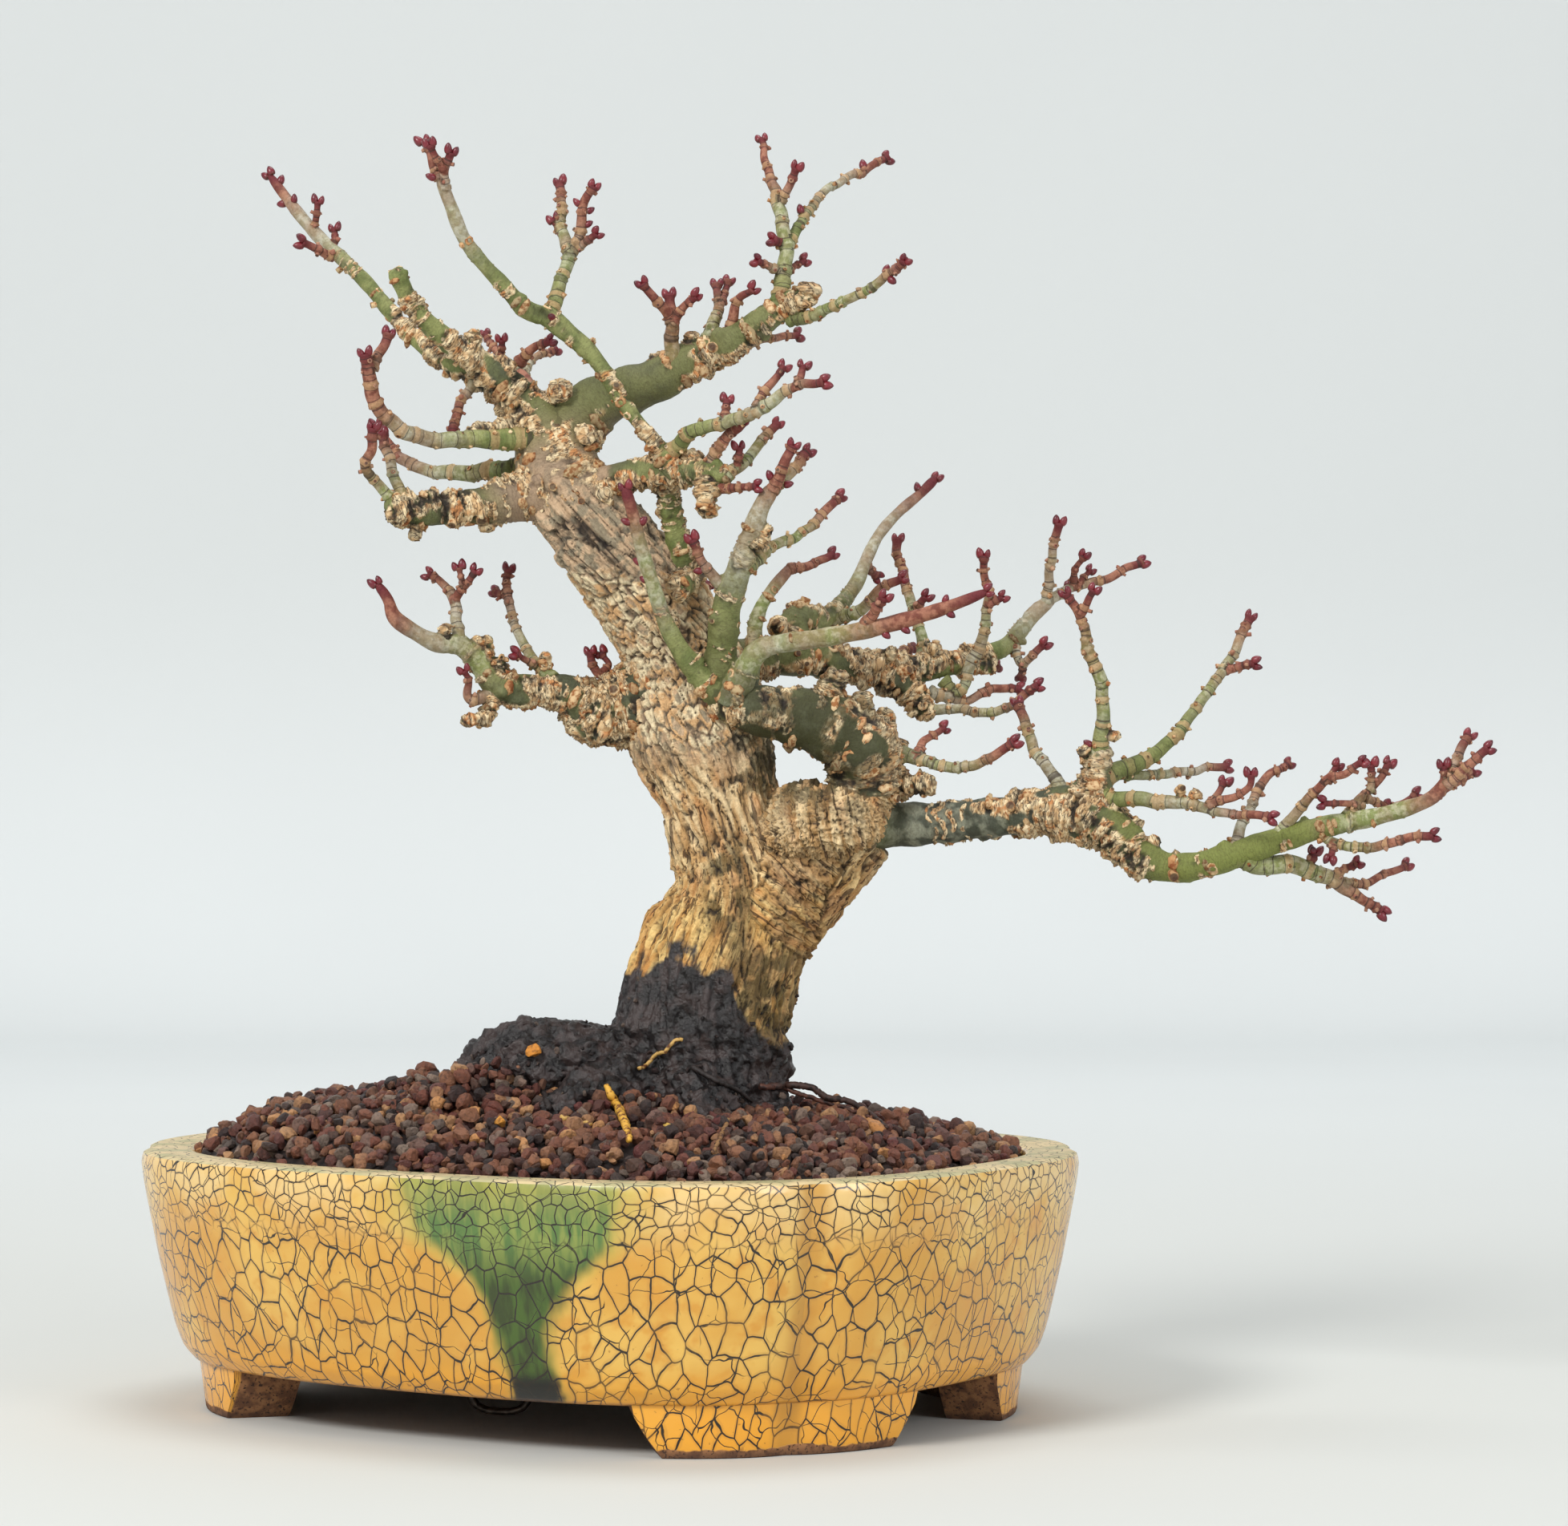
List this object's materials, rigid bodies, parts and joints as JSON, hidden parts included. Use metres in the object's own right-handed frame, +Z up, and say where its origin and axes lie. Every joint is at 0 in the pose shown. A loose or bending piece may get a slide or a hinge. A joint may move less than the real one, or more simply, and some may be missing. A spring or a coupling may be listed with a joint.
{
  "type": "potted maple bonsai",
  "caption": "Leafless lion's-head Japanese maple bonsai with a leaning, knotty trunk and budded twigs, in a footed lobed pot with crackle glaze, filled with gravelly soil.",
  "frame": {"origin": "On the surface that the pot stands on, at the bottom centre of the whole object's bounding box.", "axes": "+Z up from the feet to the crown. -Y toward the side that the picture shows. +X to the right in the picture, the way the long low branch reaches."},
  "size_m": [0.4154, 0.2778, 0.4004],
  "materials": {
    "pot_glaze": "honey-yellow crackle glaze with a green drip, over stoneware whose foot bottoms are bare clay",
    "soil_mix": "dark red-brown, grey and tan volcanic and clay grains",
    "bark": "tan and grey ringed bark, green younger wood, red shoots and crimson buds",
    "screen_plastic": "black plastic mesh",
    "wire_metal": "dark anodised wire"
  },
  "bodies": {
    "root": {"pot": "pot_glaze", "soil": "soil_mix", "tree": "bark", "drain_screen_1": "screen_plastic", "drain_screen_2": "screen_plastic", "tie_wire": "wire_metal"}
  },
  "joints": []
}
